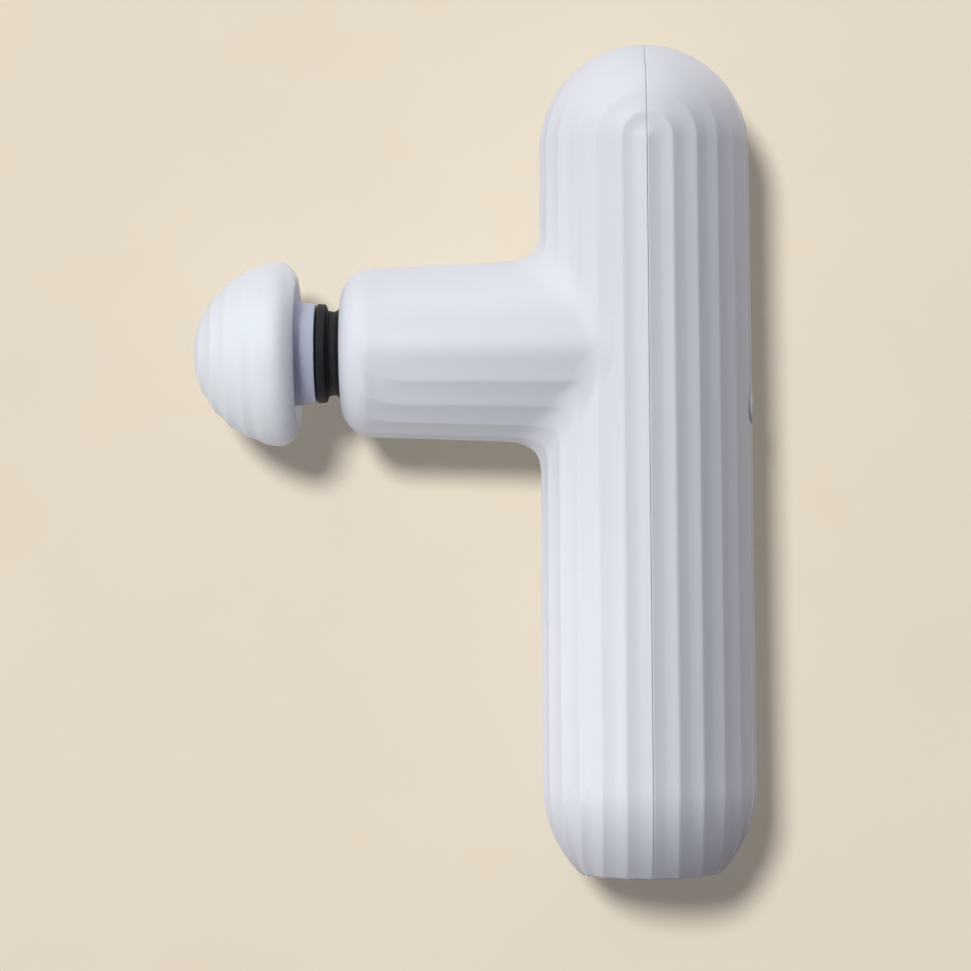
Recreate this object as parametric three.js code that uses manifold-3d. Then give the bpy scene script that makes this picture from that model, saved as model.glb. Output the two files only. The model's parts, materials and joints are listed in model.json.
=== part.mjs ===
// Pocket massage gun: a fluted handle with a domed top, a short neck, and a
// mushroom head on a reciprocating shaft.
//
// Frame (millimetres, +Z up): the origin is the centre of the flat bottom of
// the handle, +Z runs up the handle's axis, and the neck and head point along
// -X. The casing splits on the plane x = 0.
import * as THREE from "three";
import { mergeVertices } from "three/addons/utils/BufferGeometryUtils.js";
import Module from "manifold-3d";

const wasm = await Module();
wasm.setup();

// ---------------------------------------------------------------- dimensions
// Handle
const HEIGHT = 150; // bottom face to the top of the dome
const R_TOP = 18.8; // outer radius under the dome
const R_LOW = 19.2; // outer radius just above the bottom curve
const DOME_Z = HEIGHT - R_TOP; // centre of the domed top
const FOOT_ARC = 23; // radius of the curve that turns in to the bottom
const FOOT_Z = 16; // height where that curve starts
const FOOT_R = R_LOW - FOOT_ARC; // radius of that curve's centre
const FLUTES = 26; // concave flutes round the handle
const FLUTE_DEPTH = 0.45;
const WALL = 2.0;
const SEAM_GAP = 0.15; // half of the gap between the two casings

// Neck
const NECK_Z = 94.6; // height of the stroke axis
const NECK_TIP = 55.2; // distance of the neck's end face from the axis
const NECK_R_TIP = 15.15;
const NECK_R_ROOT = 16.4;
const NECK_BORE = 12.3;
const MOUTH_R = 8.9;
const NECK_FLUTES = 20;

// Stroke
const CRANK = 3.5; // crank radius: the stroke is twice this
const ROD = 24; // connecting rod, centre to centre
const WRIST = ROD - CRANK; // wrist pin's distance from the motor axis at rest
const PISTON_R = 8.0;
const SHAFT_R = 6.2;
const SOCKET_R = 5.0;
const SHAFT_END = 59.4;

// Head
const HEAD_TIP = 81.7;
const HEAD_R = 16.6;

// Motor
const CAN_R = 13.5;
const MOTOR_SHAFT_R = 1.6;
const BRACKET_Z = 101.0;

// Batteries
const CELL_R = 6.95;
const CELL_LEN = 65;
const CELL_X = -1.5;
const CELL_Y = 7.3;
const CELL_Z = 13;

// Board and button
const BOARD_X = 11.6; // inner face
const BOARD_T = 1.2;
const BUTTON_Z = 84;
const BUTTON_R = 3.9;
const LENS_Z = 72;

// Share of facets kept on round pieces; the handle and neck keep their own.
const FACET_SHARE = 0.6;

// ------------------------------------------------------------------- helpers
function toSolid(geometry) {
  let g = geometry.index ? geometry.toNonIndexed() : geometry.clone();
  for (const name of Object.keys(g.attributes))
    if (name !== "position") g.deleteAttribute(name);
  g = mergeVertices(g, 1e-4);
  const src = g.index.array;
  const keep = [];
  for (let i = 0; i < src.length; i += 3) {
    const [a, b, c] = [src[i], src[i + 1], src[i + 2]];
    if (a !== b && b !== c && a !== c) keep.push(a, b, c);
  }
  const make = (tris) =>
    new wasm.Manifold(
      new wasm.Mesh({
        numProp: 3,
        vertProperties: new Float32Array(g.attributes.position.array),
        triVerts: new Uint32Array(tris),
      }),
    );
  const s = make(keep);
  if (s.volume() > 0) return s;
  for (let i = 0; i < keep.length; i += 3)
    [keep[i + 1], keep[i + 2]] = [keep[i + 2], keep[i + 1]];
  return make(keep);
}

function toGeometry(solid) {
  const m = solid.getMesh();
  const n = m.numProp;
  const v = new Float32Array(m.numVert * 3);
  for (let i = 0; i < m.numVert; i++)
    v.set(m.vertProperties.subarray(i * n, i * n + 3), i * 3);
  const g = new THREE.BufferGeometry();
  g.setAttribute("position", new THREE.BufferAttribute(v, 3));
  g.setIndex(new THREE.BufferAttribute(new Uint32Array(m.triVerts), 1));
  g.computeVertexNormals();
  return g;
}

// A revolved profile of [radius, height] pairs about +Z.
const facets = (n) => Math.max(8, 4 * Math.round((n * FACET_SHARE) / 4));
function latheZ(profile, segments = 24, x = 0, y = 0, exact = false) {
  const g = new THREE.LatheGeometry(
    profile.map(([r, z]) => new THREE.Vector2(r, z)),
    exact ? segments : facets(segments),
  );
  g.rotateX(Math.PI / 2);
  g.translate(x, y, 0);
  return g;
}

// A revolved profile of [radius, distance] pairs about the stroke axis, where
// distance runs along -X from the motor's axis.
function latheNeck(profile, segments = 24, exact = false) {
  const g = latheZ(profile, segments, 0, 0, exact);
  g.rotateY(-Math.PI / 2);
  g.translate(0, 0, NECK_Z);
  return g;
}

// A revolved profile of [radius, x] pairs about a line along +X at (y, z).
function latheX(profile, segments, y, z) {
  const g = latheZ(profile, segments);
  g.rotateY(Math.PI / 2);
  g.translate(0, y, z);
  return g;
}

const loop = (points) => [...points, points[0]];
const S = {
  lathe: (p, n, x, y) => toSolid(latheZ(p, n, x, y)),
  ring: (r0, r1, z0, z1, n = 24, x = 0, y = 0) =>
    toSolid(
      latheZ(
        loop([
          [r0, z0],
          [r1, z0],
          [r1, z1],
          [r0, z1],
        ]),
        n,
        x,
        y,
      ),
    ),
  rod: (r, z0, z1, n = 24, x = 0, y = 0) =>
    toSolid(
      latheZ(
        [
          [0, z0],
          [r, z0],
          [r, z1],
          [0, z1],
        ],
        n,
        x,
        y,
      ),
    ),
  rodX: (r, x0, x1, n, y, z) =>
    toSolid(
      latheX(
        [
          [0, x0],
          [r, x0],
          [r, x1],
          [0, x1],
        ],
        n,
        y,
        z,
      ),
    ),
  box: (x0, x1, y0, y1, z0, z1) => {
    const g = new THREE.BoxGeometry(x1 - x0, y1 - y0, z1 - z0);
    g.translate((x0 + x1) / 2, (y0 + y1) / 2, (z0 + z1) / 2);
    return toSolid(g);
  },
  neck: (p, n) => toSolid(latheNeck(p, n)),
  extrudeZ: (shape, z0, z1) => {
    const g = new THREE.ExtrudeGeometry(shape, {
      depth: z1 - z0,
      bevelEnabled: false,
      curveSegments: 8,
    });
    g.translate(0, 0, z0);
    return toSolid(g);
  },
  tube: (points, r, steps = 8, sides = 3) => {
    const shape = new THREE.Shape();
    shape.absarc(0, 0, r, 0, Math.PI * 2, false);
    const path = new THREE.CatmullRomCurve3(
      points.map((p) => new THREE.Vector3(...p)),
    );
    return toSolid(
      new THREE.ExtrudeGeometry(shape, {
        steps,
        curveSegments: sides,
        bevelEnabled: false,
        extrudePath: path,
      }),
    );
  },
};

function pill(halfLength, r, alongY = true) {
  const s = new THREE.Shape();
  const k = halfLength - r;
  s.absarc(0, k, r, 0, Math.PI, false);
  s.absarc(0, -k, r, Math.PI, Math.PI * 2, false);
  s.closePath();
  return s;
}

const root = new THREE.Group();
const groups = {};
function group(name) {
  groups[name] = new THREE.Group();
  root.add(groups[name]);
  return groups[name];
}
const housing = group("housing");
const electronics = group("electronics");
const motor = group("motor");
const crank = group("crank");
const rodGroup = group("rod");
const pistonGroup = group("piston");
const headGroup = group("head");
const buttonGroup = group("button");

function add(parent, name, solid, color, roughness, metalness = 0) {
  const mesh = new THREE.Mesh(
    toGeometry(solid),
    new THREE.MeshStandardMaterial({ color, roughness, metalness }),
  );
  mesh.name = name;
  parent.add(mesh);
  return mesh;
}

const BODY_PLASTIC = 0xe0e4e9;
const HEAD_SILICONE = 0xe6edf3;
const RUBBER = 0x1d1c21;
const STEEL = 0xb4b7bb;
const NICKEL = 0xc9c6bd;
const BLACK_PLASTIC = 0x26262a;
const BOARD_GREEN = 0x1f4a38;
const COPPER = 0xb26a3c;

// -------------------------------------------------------------------- casing
// Radius of the plain (unfluted) outer surface, as a profile from the bottom.
const outerProfile = [[0, 0]];
for (let i = 0; i <= 4; i++) {
  const a = Math.asin(FOOT_Z / FOOT_ARC) * (1 - i / 4);
  outerProfile.push([
    FOOT_R + FOOT_ARC * Math.cos(a),
    i === 0 ? 0 : FOOT_Z - FOOT_ARC * Math.sin(a),
  ]);
}
for (let i = 0; i <= 7; i++) {
  const a = ((Math.PI / 2) * i) / 7;
  outerProfile.push([
    i === 7 ? 0 : R_TOP * Math.cos(a),
    DOME_Z + R_TOP * Math.sin(a),
  ]);
}

function fluteFade(z) {
  if (z < DOME_Z) return 1;
  return Math.max(0, 1 - (z - DOME_Z) / 10);
}

const bodyGeometry = latheZ(outerProfile, FLUTES * 2, 0, 0, true);
{
  const p = bodyGeometry.attributes.position;
  for (let i = 0; i < p.count; i++) {
    const x = p.getX(i);
    const y = p.getY(i);
    const z = p.getZ(i);
    const r = Math.hypot(x, y);
    if (r < 1) continue;
    const step = Math.round((Math.atan2(x, -y) / (2 * Math.PI)) * FLUTES * 2);
    if (step % 2 === 0) continue;
    const k = (r - FLUTE_DEPTH * fluteFade(z)) / r;
    p.setXY(i, x * k, y * k);
  }
}
const bodyOuter = toSolid(bodyGeometry);

const neckProfile = [
  [0, 2],
  [NECK_R_ROOT, 2],
  [NECK_R_ROOT, 22],
  [NECK_R_TIP + 0.1, 50.6],
  [NECK_R_TIP - 1.3, NECK_TIP - 1.2],
  [NECK_R_TIP - 4.5, NECK_TIP],
  [0, NECK_TIP],
];
const neckGeometry = latheNeck(neckProfile, NECK_FLUTES * 2, true);
{
  const p = neckGeometry.attributes.position;
  for (let i = 0; i < p.count; i++) {
    const s = -p.getX(i);
    const y = p.getY(i);
    const z = p.getZ(i) - NECK_Z;
    const r = Math.hypot(y, z);
    if (r < 1 || s > 51 || s < 20) continue;
    const step = Math.round(
      (Math.atan2(z, -y) / (2 * Math.PI)) * NECK_FLUTES * 2,
    );
    if (step % 2 === 0) continue;
    const k = (r - 0.35) / r;
    p.setY(i, y * k);
    p.setZ(i, NECK_Z + z * k);
  }
}
const neckOuter = toSolid(neckGeometry);

// Inside of the handle: the wall, the foot recess for the bottom cap and the
// lip that the cap and the base frame clamp.
const LIP_Z0 = 1.3;
const LIP_Z1 = 2.7;
const cavityProfile = [
  [0, -2],
  [12.0, -2],
  [12.0, LIP_Z0],
  [10.4, LIP_Z0],
  [10.4, LIP_Z1],
];
for (let i = 0; i <= 4; i++) {
  const a = Math.asin((FOOT_Z - LIP_Z1) / (FOOT_ARC - WALL)) * (1 - i / 4);
  cavityProfile.push([
    FOOT_R + (FOOT_ARC - WALL) * Math.cos(a),
    i === 0 ? LIP_Z1 : FOOT_Z - (FOOT_ARC - WALL) * Math.sin(a),
  ]);
}
for (let i = 0; i <= 5; i++) {
  const a = ((Math.PI / 2) * i) / 5;
  const r = R_TOP - WALL;
  cavityProfile.push([i === 5 ? 0 : r * Math.cos(a), DOME_Z + r * Math.sin(a)]);
}
const cavity = S.lathe(cavityProfile, 32);
const neckBore = S.neck(
  [
    [0, 0],
    [NECK_BORE, 0],
    [NECK_BORE, 53],
    [MOUTH_R, 53],
    [MOUTH_R, 58],
    [0, 58],
  ],
  32,
);

// Ledges that carry the motor bracket, one pair in each casing.
const ledgeRing = S.ring(14.4, R_TOP - WALL + 0.6, 99.6, 100.7, 32);
const ledges = ledgeRing
  .intersect(S.box(-9, -1.5, -20, 20, 99, 101))
  .add(ledgeRing.intersect(S.box(1.5, 11, -20, 20, 99, 101)));

const casing = bodyOuter
  .add(neckOuter)
  .subtract(cavity)
  .subtract(neckBore)
  .add(ledges);
const frontShell = casing.intersect(
  S.box(-80, -SEAM_GAP, -40, 40, -5, HEIGHT + 5),
);
const rearShell = casing
  .intersect(S.box(SEAM_GAP, 40, -40, 40, -5, HEIGHT + 5))
  .subtract(S.rodX(BUTTON_R + 0.3, 13, 25, 24, 0, BUTTON_Z))
  .subtract(S.rodX(1.4, 13, 25, 12, 0, LENS_Z));
add(housing, "front_shell", frontShell, BODY_PLASTIC, 0.5);
add(housing, "rear_shell", rearShell, BODY_PLASTIC, 0.5);

// Bottom cap: a flat disc in the foot's recess with two countersunk screw
// holes across it and the charging opening towards the back.
const SCREW_Y = 7.4;
const USB_X = 5.2;
const USB_HALF = 4.6;
const USB_R = 1.7;
let cap = S.lathe(
  [
    [0, 0],
    [11.4, 0],
    [11.7, 0.3],
    [11.7, 1.0],
    [10.1, 1.0],
    [10.1, LIP_Z1],
    [0, LIP_Z1],
  ],
  32,
);
cap = cap.subtract(
  S.extrudeZ(pill(USB_HALF + 0.3, USB_R + 0.3), -1, 4).translate([USB_X, 0, 0]),
);
for (const y of [-SCREW_Y, SCREW_Y])
  cap = cap
    .subtract(S.rod(2.1, -1, 1.3, 20, 0, y))
    .subtract(S.rod(1.3, -1, 4, 16, 0, y));
add(housing, "bottom_cap", cap, BODY_PLASTIC, 0.5);

function crossScrew(headR, headT, shankR, length) {
  // Head from 0 to headT, shank up to length, cross recess in the head.
  const body = S.lathe(
    [
      [0, 0],
      [headR - 0.2, 0],
      [headR, 0.25],
      [headR, headT],
      [shankR, headT],
      [shankR, length - 0.5],
      [shankR - 0.4, length],
      [0, length],
    ],
    16,
  );
  return body
    .subtract(S.box(-headR * 0.6, headR * 0.6, -0.25, 0.25, -1, headT * 0.6))
    .subtract(S.box(-0.25, 0.25, -headR * 0.6, headR * 0.6, -1, headT * 0.6));
}
[-SCREW_Y, SCREW_Y].forEach((y, i) => {
  const m = add(
    housing,
    "bottom_cap_screw_" + (i + 1),
    crossScrew(1.8, 0.8, 1.0, 7.2),
    STEEL,
    0.35,
    1,
  );
  m.position.set(0, y, 0.35);
});

// Base frame: clamps the lip from inside and takes the cap's screws.
let base = S.ring(8.4, 12.1, LIP_Z1 + 0.3, 4.6, 32);
for (const y of [-SCREW_Y, SCREW_Y])
  base = base.add(S.rod(2.4, LIP_Z1 + 0.3, 8.2, 16, 0, y));
for (const y of [-SCREW_Y, SCREW_Y])
  base = base.subtract(S.rod(1.3, 0, 9, 16, 0, y));
add(housing, "base_frame", base, BLACK_PLASTIC, 0.6);

// --------------------------------------------------------------- electronics
// Charging board and socket
let chargeBoard = S.rod(12.8, 8.7, 9.8, 28);
chargeBoard = chargeBoard.subtract(S.box(-20, 20, 11.6, 20, 8, 11));
add(electronics, "charge_board", chargeBoard, BOARD_GREEN, 0.45);

let socket = S.extrudeZ(pill(USB_HALF, USB_R), 0.5, 8.4);
socket = socket.subtract(S.extrudeZ(pill(USB_HALF - 0.35, USB_R - 0.35), 0, 7));
socket = socket
  .add(S.box(-0.35, 0.35, -3.3, 3.3, 1.4, 7.5))
  .translate([USB_X, 0, 0]);
add(electronics, "usb_socket", socket, STEEL, 0.3, 1);
add(
  electronics,
  "charge_ribbon",
  S.box(11.05, 11.3, -3, 3, 10.1, 19),
  0xd8d8d4,
  0.6,
);

// Battery pack
let carrier = S.rod(16.0, 10.9, 12.2, 32).add(S.rod(16.0, 79.0, 80.4, 32));
carrier = carrier
  .add(S.box(5, 8, -3.5, 3.5, 12, 79.2))
  .add(S.box(-11, -8, -3.5, 3.5, 12, 79.2));
for (const z of [30, 66]) carrier = carrier.add(S.rodX(2.4, 7.5, 11.3, 16, 0, z));
for (const z of [30, 66])
  carrier = carrier.subtract(S.rodX(1.1, 6.4, 14, 12, 0, z));
carrier = carrier.subtract(S.box(10.75, 20, -20, 20, 10, 13));
carrier = carrier.subtract(S.box(11.3, 20, -20, 20, 78, 82));
for (const y of [-6, 6]) carrier = carrier.subtract(S.rod(1.2, 78, 82, 12, 2, y));
add(electronics, "battery_carrier", carrier, BLACK_PLASTIC, 0.6);

[-CELL_Y, CELL_Y].forEach((y, i) => {
  const z0 = CELL_Z;
  const z1 = CELL_Z + CELL_LEN;
  add(
    electronics,
    "battery_cell_" + (i + 1),
    S.lathe(
      [
        [0, z0],
        [CELL_R - 0.4, z0],
        [CELL_R, z0 + 0.5],
        [CELL_R, z1 - 0.5],
        [CELL_R - 0.4, z1],
        [0, z1],
      ],
      28,
      CELL_X,
      y,
    ),
    0x3a6ea5,
    0.4,
  );
});
add(
  electronics,
  "battery_bridge",
  S.box(CELL_X - 2.5, CELL_X + 2.5, -9.5, 9.5, 12.45, 12.75),
  NICKEL,
  0.35,
  1,
);
add(
  electronics,
  "battery_tab_positive",
  S.box(CELL_X - 2, 4, CELL_Y - 3.5, CELL_Y + 1.5, 78.3, 78.6),
  NICKEL,
  0.35,
  1,
);
add(
  electronics,
  "battery_tab_negative",
  S.box(CELL_X - 2, 4, -CELL_Y - 1.5, -CELL_Y + 3.5, 78.3, 78.6),
  NICKEL,
  0.35,
  1,
);
add(
  electronics,
  "battery_lead_red",
  S.tube(
    [
      [2, 6, 78.9],
      [2, 6, 81.6],
      [4.6, 5.8, 83.2],
      [8.6, 5.2, 83.6],
      [11.3, 5, 83.6],
    ],
    0.7,
  ),
  0xb3262b,
  0.5,
);
add(
  electronics,
  "battery_lead_black",
  S.tube(
    [
      [2, -6, 78.9],
      [2, -6, 81.6],
      [4.6, -5.8, 83.2],
      [8.6, -5.2, 83.6],
      [11.3, -5, 83.6],
    ],
    0.7,
  ),
  0x18181a,
  0.5,
);
add(
  electronics,
  "battery_foam_pad",
  S.box(-15.2, -12.2, -4, 4, 24, 66),
  0x55565a,
  0.95,
);

// Main board with its soldered parts on the inner face
let board = S.box(BOARD_X, BOARD_X + BOARD_T, -9, 9, 14, 92);
board = board
  .add(S.box(BOARD_X - 0.9, BOARD_X + 0.2, -3, 3, 42, 48))
  .add(S.box(BOARD_X - 1.4, BOARD_X + 0.2, -7.5, -4.5, 52, 56))
  .add(S.box(BOARD_X - 1.4, BOARD_X + 0.2, 4.5, 7.5, 52, 56))
  .add(S.box(BOARD_X - 0.8, BOARD_X + 0.2, -8, -5.6, 20, 26))
  .add(S.box(BOARD_X - 0.8, BOARD_X + 0.2, 5.6, 8, 20, 26));
for (const z of [30, 66])
  board = board.subtract(S.rodX(1.1, BOARD_X - 3, BOARD_X + 3, 12, 0, z));
add(electronics, "main_board", board, BOARD_GREEN, 0.45);

[30, 66].forEach((z, i) => {
  const m = add(
    electronics,
    "board_screw_" + (i + 1),
    crossScrew(1.8, 1.1, 0.8, 6.6),
    STEEL,
    0.35,
    1,
  );
  m.rotation.y = -Math.PI / 2; // shank points along -X
  m.position.set(BOARD_X + BOARD_T + 0.2 + 1.1, 0, z);
});

const BOARD_OUT = BOARD_X + BOARD_T;
const tact = S.box(BOARD_OUT + 0.15, 14.1, -3, 3, BUTTON_Z - 3, BUTTON_Z + 3)
  .subtract(S.rodX(1.7, 13.3, 16, 16, 0, BUTTON_Z));
add(electronics, "tact_switch", tact, BLACK_PLASTIC, 0.5);
add(
  electronics,
  "indicator_lens",
  toSolid(
    latheX(
      [
        [0, 14.4],
        [1.6, 14.4],
        [1.6, 15.2],
        [1.1, 15.2],
        [1.1, 18.6],
        [0.7, 18.9],
        [0, 18.9],
      ],
      12,
      0,
      LENS_Z,
    ),
  ),
  0xf4f4f0,
  0.2,
);

// -------------------------------------------------------------------- button
add(
  buttonGroup,
  "button_cap",
  toSolid(
    latheX(
      [
        [0, 14.9],
        [4.9, 14.9],
        [4.9, 15.6],
        [BUTTON_R, 15.6],
        [BUTTON_R, 18.1],
        [BUTTON_R - 0.5, 18.5],
        [BUTTON_R - 2, 18.75],
        [0, 18.85],
      ],
      28,
      0,
      BUTTON_Z,
    ),
  ),
  BODY_PLASTIC,
  0.45,
);
add(
  buttonGroup,
  "switch_plunger",
  S.rodX(1.3, 13.95, 14.75, 12, 0, BUTTON_Z),
  0xe8e8e8,
  0.5,
);

// --------------------------------------------------------------------- motor
const SCREW_R = 9;
const screwAngles = [60, 180, 300].map((d) => (d * Math.PI) / 180);
let bracket = S.ring(4.2, 16.0, BRACKET_Z, BRACKET_Z + 1.6, 32);
bracket = bracket
  .subtract(S.box(-20, -13, -20, 20, 100, 104))
  .subtract(S.box(13.4, 20, -6, 6, 100, 104));
for (const a of screwAngles)
  bracket = bracket.subtract(
    S.rod(1.3, 100, 104, 12, SCREW_R * Math.cos(a), SCREW_R * Math.sin(a)),
  );
add(motor, "motor_bracket", bracket, STEEL, 0.4, 1);

let endPlate = S.lathe(
  loop([
    [2.2, 102.9],
    [13.3, 102.9],
    [13.3, 104.4],
    [5.6, 104.4],
    [5.6, 105.9],
    [4.5, 105.9],
    [4.5, 103.5],
    [2.2, 103.5],
  ]),
  28,
);
for (const a of screwAngles)
  endPlate = endPlate.subtract(
    S.rod(1.3, 102, 105, 12, SCREW_R * Math.cos(a), SCREW_R * Math.sin(a)),
  );
add(motor, "motor_end_plate", endPlate, STEEL, 0.35, 1);

screwAngles.forEach((a, i) => {
  const m = add(
    motor,
    "motor_screw_" + (i + 1),
    crossScrew(1.8, 0.85, 1.0, 4.3),
    STEEL,
    0.35,
    1,
  );
  m.position.set(SCREW_R * Math.cos(a), SCREW_R * Math.sin(a), 99.95);
});

add(
  motor,
  "motor_can",
  S.lathe(
    [
      [0, 124.5],
      [4.5, 124.5],
      [4.5, 121.7],
      [5.8, 121.7],
      [5.8, 124.5],
      [12.3, 124.5],
      [12.3, 104.7],
      [CAN_R, 104.7],
      [CAN_R, 125.2],
      [CAN_R - 0.8, 126],
      [0, 126],
    ],
    32,
  ),
  STEEL,
  0.3,
  1,
);
add(
  motor,
  "motor_damper",
  S.lathe(
    loop([
      [CAN_R + 0.3, 110],
      [16.2, 110],
      [16.4, 111],
      [16.4, 121],
      [16.2, 122],
      [CAN_R + 0.3, 122],
    ]),
    32,
  ),
  RUBBER,
  0.8,
);

const SLOTS = 9;
const stator = new THREE.Shape();
stator.absarc(0, 0, 12.0, 0, Math.PI * 2, false);
const bore = new THREE.Path();
for (let i = 0; i < SLOTS; i++) {
  const c = (i * 2 * Math.PI) / SLOTS;
  const at = (r, d) => [
    r * Math.cos(c + (d * Math.PI) / 180),
    r * Math.sin(c + (d * Math.PI) / 180),
  ];
  const pts = [
    at(10.7, -8.6),
    at(6.8, -13.5),
    at(6.8, 0),
    at(6.8, 13.5),
    at(10.7, 8.6),
    at(10.7, 20),
  ];
  pts.forEach(([x, y], k) =>
    i === 0 && k === 0 ? bore.moveTo(x, y) : bore.lineTo(x, y),
  );
}
bore.closePath();
stator.holes.push(bore);
add(
  motor,
  "stator_core",
  S.extrudeZ(stator, 107.4, 119.0),
  0x8b8d90,
  0.5,
  1,
);
let windings = S.ring(7.5, 11.0, 105.2, 107.1, 27).add(
  S.ring(7.5, 11.0, 119.3, 121.2, 27),
);
for (let i = 0; i < SLOTS; i++) {
  const g = new THREE.BoxGeometry(2.0, 1.6, 13);
  g.translate(9.2, 0, 113.2);
  g.rotateZ(((i + 0.5) * 2 * Math.PI) / SLOTS);
  windings = windings.add(toSolid(g));
}
add(motor, "stator_windings", windings, COPPER, 0.35, 1);

function bearing(r0, r1, z0, z1) {
  const zm = (z0 + z1) / 2;
  const d = Math.min(0.5, (z1 - z0) / 4);
  const m0 = r0 + (r1 - r0) * 0.32;
  const m1 = r0 + (r1 - r0) * 0.68;
  return S.lathe(
    loop([
      [r0, z0],
      [m0, z0],
      [m0 + 0.1, z0 + d],
      [m1 - 0.1, z0 + d],
      [m1, z0],
      [r1, z0],
      [r1, z1],
      [m1, z1],
      [m1 - 0.1, z1 - d],
      [m0 + 0.1, z1 - d],
      [m0, z1],
      [r0, z1],
    ]),
    20,
  );
}
add(motor, "motor_bearing_lower", bearing(1.9, 4.2, 103.8, 105.8), STEEL, 0.2, 1);
add(motor, "motor_bearing_upper", bearing(1.9, 4.2, 122.0, 124.2), STEEL, 0.2, 1);

// Three phase leads, from the board up past the bracket's notch to the can
[-3.2, 0, 3.2].forEach((y, i) =>
  add(
    electronics,
    "motor_lead_" + ["u", "v", "w"][i],
    S.tube(
      [
        [13.7, y, 90.2],
        [14.2, y, 93],
        [14.9, y, 97],
        [15.2, y, 101],
        [15.1, y, 104],
        [14.6, y, 106.2],
        [14.5, y, 108.6],
      ],
      0.6,
    ),
    [0xc9a227, 0x2f6db5, 0x3c9a54][i],
    0.5,
  ),
);

// --------------------------------------------------------------------- crank
add(
  crank,
  "rotor_magnet",
  S.ring(1.9, 6.3, 106.8, 119.6, 24),
  0x4a4a4e,
  0.4,
  1,
);
add(
  crank,
  "motor_shaft",
  S.lathe(
    [
      [0, 99.0],
      [MOTOR_SHAFT_R - 0.2, 99.0],
      [MOTOR_SHAFT_R, 99.2],
      [MOTOR_SHAFT_R, 124.0],
      [MOTOR_SHAFT_R - 0.2, 124.2],
      [0, 124.2],
    ],
    16,
  ),
  STEEL,
  0.2,
  1,
);
let wheel = S.lathe(
  [
    [0, 97.2],
    [8.6, 97.2],
    [9.0, 97.6],
    [9.0, 99.6],
    [3.4, 99.6],
    [3.4, 102.3],
    [1.9, 102.3],
    [1.9, 98.8],
    [0, 98.8],
  ],
  28,
);
wheel = wheel.subtract(S.rod(1.8, 96, 98.4, 16, CRANK));
add(crank, "eccentric_wheel", wheel, 0xa8a9ad, 0.4, 1);
add(
  crank,
  "counterweight",
  S.ring(9.3, 12.8, 97.2, 99.6, 32).intersect(
    S.box(-14, -3, -14, 14, 96, 101),
  ),
  0xb59a5a,
  0.45,
  1,
);
add(
  crank,
  "crank_pin",
  S.rod(1.5, 96.75, 98.1, 16, CRANK),
  STEEL,
  0.2,
  1,
);

// ----------------------------------------------------------- connecting rod
const ROD_Z0 = NECK_Z - 1.7;
const ROD_Z1 = NECK_Z + 1.7;
let rod = S.box(-WRIST + 1, CRANK - 2, -2.6, 2.6, ROD_Z0, ROD_Z1)
  .add(S.rod(7.2, ROD_Z0, ROD_Z1, 28, CRANK))
  .add(S.rod(4.2, ROD_Z0, ROD_Z1, 20, -WRIST));
rod = rod
  .subtract(S.rod(5.3, 90, 99, 28, CRANK))
  .subtract(S.rod(2.3, 90, 99, 20, -WRIST))
  .subtract(S.box(-WRIST + 5, CRANK - 8.4, -1.4, 1.4, 90, ROD_Z0 + 0.9))
  .subtract(S.box(-WRIST + 5, CRANK - 8.4, -1.4, 1.4, ROD_Z1 - 0.9, 99));
add(rodGroup, "connecting_rod", rod, 0xd2d4d6, 0.5);
const bigEnd = add(
  rodGroup,
  "crank_bearing",
  bearing(1.9, 5.0, ROD_Z0, ROD_Z1),
  STEEL,
  0.2,
  1,
);
bigEnd.position.set(CRANK, 0, 0);

// -------------------------------------------------------------------- piston
let piston = S.neck(
  [
    [0, 15.5],
    [PISTON_R - 0.5, 15.5],
    [PISTON_R, 16],
    [PISTON_R, 43],
    [SHAFT_R, 44.5],
    [SHAFT_R, SHAFT_END],
    [SOCKET_R, SHAFT_END],
    [SOCKET_R, 46],
    [0, 46],
  ],
  28,
);
piston = piston
  .subtract(S.box(-27, -14, -9, 9, NECK_Z - 2.2, NECK_Z + 2.2))
  .subtract(S.rod(2.3, 80, 110, 20, -WRIST));
add(pistonGroup, "piston", piston, 0x3a3b40, 0.4);
add(
  pistonGroup,
  "wrist_pin",
  S.rod(2.0, NECK_Z - 6.6, NECK_Z + 6.6, 20, -WRIST),
  STEEL,
  0.2,
  1,
);
add(
  pistonGroup,
  "shaft_collar",
  S.neck(
    loop([
      [SHAFT_R + 0.3, 57.3],
      [8.8, 57.3],
      [9.0, 57.5],
      [9.0, 59.1],
      [8.8, SHAFT_END],
      [SHAFT_R + 0.3, SHAFT_END],
    ]),
    32,
  ),
  RUBBER,
  0.7,
);

// --------------------------------------------------------------------- guide
add(
  housing,
  "guide_housing",
  S.neck(
    loop([
      [9.7, 26],
      [12.0, 26],
      [12.0, 28],
      [11.0, 28],
      [11.0, 47.5],
      [12.0, 47.5],
      [12.0, 49.5],
      [9.7, 49.5],
    ]),
    28,
  ),
  0xc4c6c9,
  0.4,
  1,
);
add(
  housing,
  "guide_bush_rear",
  S.neck(
    loop([
      [PISTON_R + 0.3, 27],
      [9.4, 27],
      [9.4, 33],
      [PISTON_R + 0.3, 33],
    ]),
    28,
  ),
  0xa9803f,
  0.4,
  1,
);
add(
  housing,
  "guide_bush_front",
  S.neck(
    loop([
      [PISTON_R + 0.3, 40],
      [9.4, 40],
      [9.4, 46],
      [PISTON_R + 0.3, 46],
    ]),
    28,
  ),
  0xa9803f,
  0.4,
  1,
);
add(
  housing,
  "boot_clamp_ring",
  S.neck(
    loop([
      [9.0, 51.0],
      [12.0, 51.0],
      [12.0, 52.6],
      [9.0, 52.6],
    ]),
    28,
  ),
  BLACK_PLASTIC,
  0.6,
);
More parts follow.
